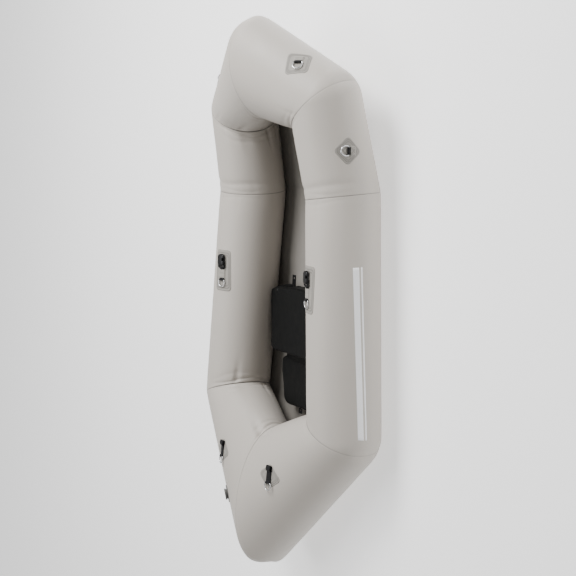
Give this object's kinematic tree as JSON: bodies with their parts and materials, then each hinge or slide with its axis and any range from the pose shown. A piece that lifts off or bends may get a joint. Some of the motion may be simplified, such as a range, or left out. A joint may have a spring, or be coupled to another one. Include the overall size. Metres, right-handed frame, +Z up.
{
  "type": "inflatable packraft",
  "caption": "One-person inflatable packraft: welded tube panels with a raised pointed bow and stern, a fabric floor, an inflatable folding seat, valves and D-ring tie-downs.",
  "frame": {"origin": "on the ground, under the middle of the raft's box", "axes": "+X to the bow, +Y to port, +Z up"},
  "size_m": [2.1252, 1.054, 0.4357],
  "materials": {
    "hull_fabric": "matt coated fabric",
    "patch_fabric": "matt coated fabric",
    "seam_tape": "smooth film tape",
    "floor_fabric": "matt coated fabric",
    "ring_steel": "satin stainless",
    "webbing": "woven webbing",
    "buckle_plastic": "fine texture",
    "seat_fabric": "coated fabric",
    "valve_plastic": "moulded",
    "valve_rubber": "silicone",
    "seat_valve_plastic": "moulded"
  },
  "bodies": {
    "hull": {"bow_centre_seam_tape": "seam_tape", "bow_patch_port": "patch_fabric", "bow_patch_starboard": "patch_fabric", "bow_ring_tab_port": "webbing", "bow_ring_tab_starboard": "webbing", "bow_tube_port": "hull_fabric", "bow_tube_starboard": "hull_fabric", "floor": "floor_fabric", "seat_anchor_tab_port": "webbing", "seat_anchor_tab_starboard": "webbing", "seat_base": "seat_fabric", "seat_valve_collar": "seat_valve_plastic", "shoulder_patch_port": "patch_fabric", "shoulder_patch_starboard": "patch_fabric", "shoulder_ring_tab_port": "webbing", "shoulder_ring_tab_starboard": "webbing", "shoulder_seam_tape_port": "seam_tape", "shoulder_seam_tape_starboard": "seam_tape", "shoulder_tube_port": "hull_fabric", "shoulder_tube_starboard": "hull_fabric", "side_buckle_tab_port": "webbing", "side_buckle_tab_starboard": "webbing", "side_patch_port": "patch_fabric", "side_patch_starboard": "patch_fabric", "side_ring_tab_port": "webbing", "side_ring_tab_starboard": "webbing", "side_seam_tape_port": "seam_tape", "side_seam_tape_starboard": "seam_tape", "side_tube_port": "hull_fabric", "side_tube_starboard": "hull_fabric", "stern_centre_seam_tape": "seam_tape", "stern_corner_seam_tape_port": "seam_tape", "stern_corner_seam_tape_starboard": "seam_tape", "stern_patch_port": "patch_fabric", "stern_patch_starboard": "patch_fabric", "stern_strap_port": "webbing", "stern_strap_starboard": "webbing", "stern_tube_port": "hull_fabric", "stern_tube_starboard": "hull_fabric", "valve_base": "valve_plastic"},
    "side_d_ring_port": {"side_d_ring_port": "ring_steel"},
    "side_d_ring_starboard": {"side_d_ring_starboard": "ring_steel"},
    "stern_d_ring_port": {"stern_d_ring_port": "ring_steel"},
    "stern_d_ring_starboard": {"stern_d_ring_starboard": "ring_steel"},
    "shoulder_d_ring_port": {"shoulder_d_ring_port": "ring_steel"},
    "shoulder_d_ring_starboard": {"shoulder_d_ring_starboard": "ring_steel"},
    "bow_d_ring_port": {"bow_d_ring_port": "ring_steel"},
    "bow_d_ring_starboard": {"bow_d_ring_starboard": "ring_steel"},
    "side_buckle_port": {"side_buckle_port": "buckle_plastic"},
    "side_buckle_starboard": {"side_buckle_starboard": "buckle_plastic"},
    "backrest": {"backrest": "seat_fabric", "backrest_tab_port": "webbing", "backrest_tab_starboard": "webbing"},
    "valve_cap": {"valve_cap": "valve_plastic"},
    "valve_flap": {"valve_flap": "valve_rubber"},
    "seat_valve_mouthpiece": {"seat_valve_mouthpiece": "seat_valve_plastic"}
  },
  "joints": [
    {"name": "side_d_ring_port_swing", "type": "hinge", "parent": "hull", "child": "side_d_ring_port", "pos_m": [0.05903, 0.31529, 0.26643], "axis": [0, 0.9752, 0.2211], "range_deg": [0, 150]},
    {"name": "side_d_ring_starboard_swing", "type": "hinge", "parent": "hull", "child": "side_d_ring_starboard", "pos_m": [0.05903, -0.31529, 0.26643], "axis": [0, 0.9752, -0.2211], "range_deg": [0, 150]},
    {"name": "stern_d_ring_port_swing", "type": "hinge", "parent": "hull", "child": "stern_d_ring_port", "pos_m": [-0.62735, 0.18166, 0.31492], "axis": [0, 0.9891, -0.1476], "range_deg": [0, 150]},
    {"name": "stern_d_ring_starboard_swing", "type": "hinge", "parent": "hull", "child": "stern_d_ring_starboard", "pos_m": [-0.62735, -0.18166, 0.31492], "axis": [0, 0.9891, 0.1476], "range_deg": [0, 150]},
    {"name": "shoulder_d_ring_port_swing", "type": "hinge", "parent": "hull", "child": "shoulder_d_ring_port", "pos_m": [0.57626, 0.43505, 0.20004], "axis": [-0.9988, 0.0493, 0], "range_deg": [0, 150]},
    {"name": "shoulder_d_ring_starboard_swing", "type": "hinge", "parent": "hull", "child": "shoulder_d_ring_starboard", "pos_m": [0.57626, -0.43505, 0.20004], "axis": [0.9988, 0.0493, 0], "range_deg": [0, 150]},
    {"name": "bow_d_ring_port_swing", "type": "hinge", "parent": "hull", "child": "bow_d_ring_port", "pos_m": [0.86908, 0.2738, 0.31273], "axis": [0, 0.7609, -0.6488], "range_deg": [0, 150]},
    {"name": "bow_d_ring_starboard_swing", "type": "hinge", "parent": "hull", "child": "bow_d_ring_starboard", "pos_m": [0.86908, -0.2738, 0.31273], "axis": [0, 0.7609, 0.6488], "range_deg": [0, 150]},
    {"name": "side_buckle_port_swing", "type": "hinge", "parent": "hull", "child": "side_buckle_port", "pos_m": [0.10902, 0.31507, 0.26737], "axis": [0, -0.9752, -0.2211], "range_deg": [0, 120]},
    {"name": "side_buckle_starboard_swing", "type": "hinge", "parent": "hull", "child": "side_buckle_starboard", "pos_m": [0.10902, -0.31507, 0.26737], "axis": [0, -0.9752, 0.2211], "range_deg": [0, 120]},
    {"name": "backrest_fold", "type": "hinge", "parent": "hull", "child": "backrest", "pos_m": [-0.224, 0, 0.0575], "axis": [0, 1, 0], "range_deg": [0, 95]},
    {"name": "valve_cap_hinge", "type": "hinge", "parent": "hull", "child": "valve_cap", "pos_m": [-0.78109, 0.15676, 0.30008], "axis": [-0.8711, -0.4911, 0], "range_deg": [0, 150]},
    {"name": "valve_flap_lift", "type": "slide", "parent": "hull", "child": "valve_flap", "axis": [0.2221, -0.394, -0.8919], "range_m": [0, 0.004], "stiffness_N_per_m": 80, "springref_m": -0.001},
    {"name": "seat_valve_pull", "type": "slide", "parent": "hull", "child": "seat_valve_mouthpiece", "axis": [0, 0, 1], "range_m": [0, 0.005]}
  ]
}
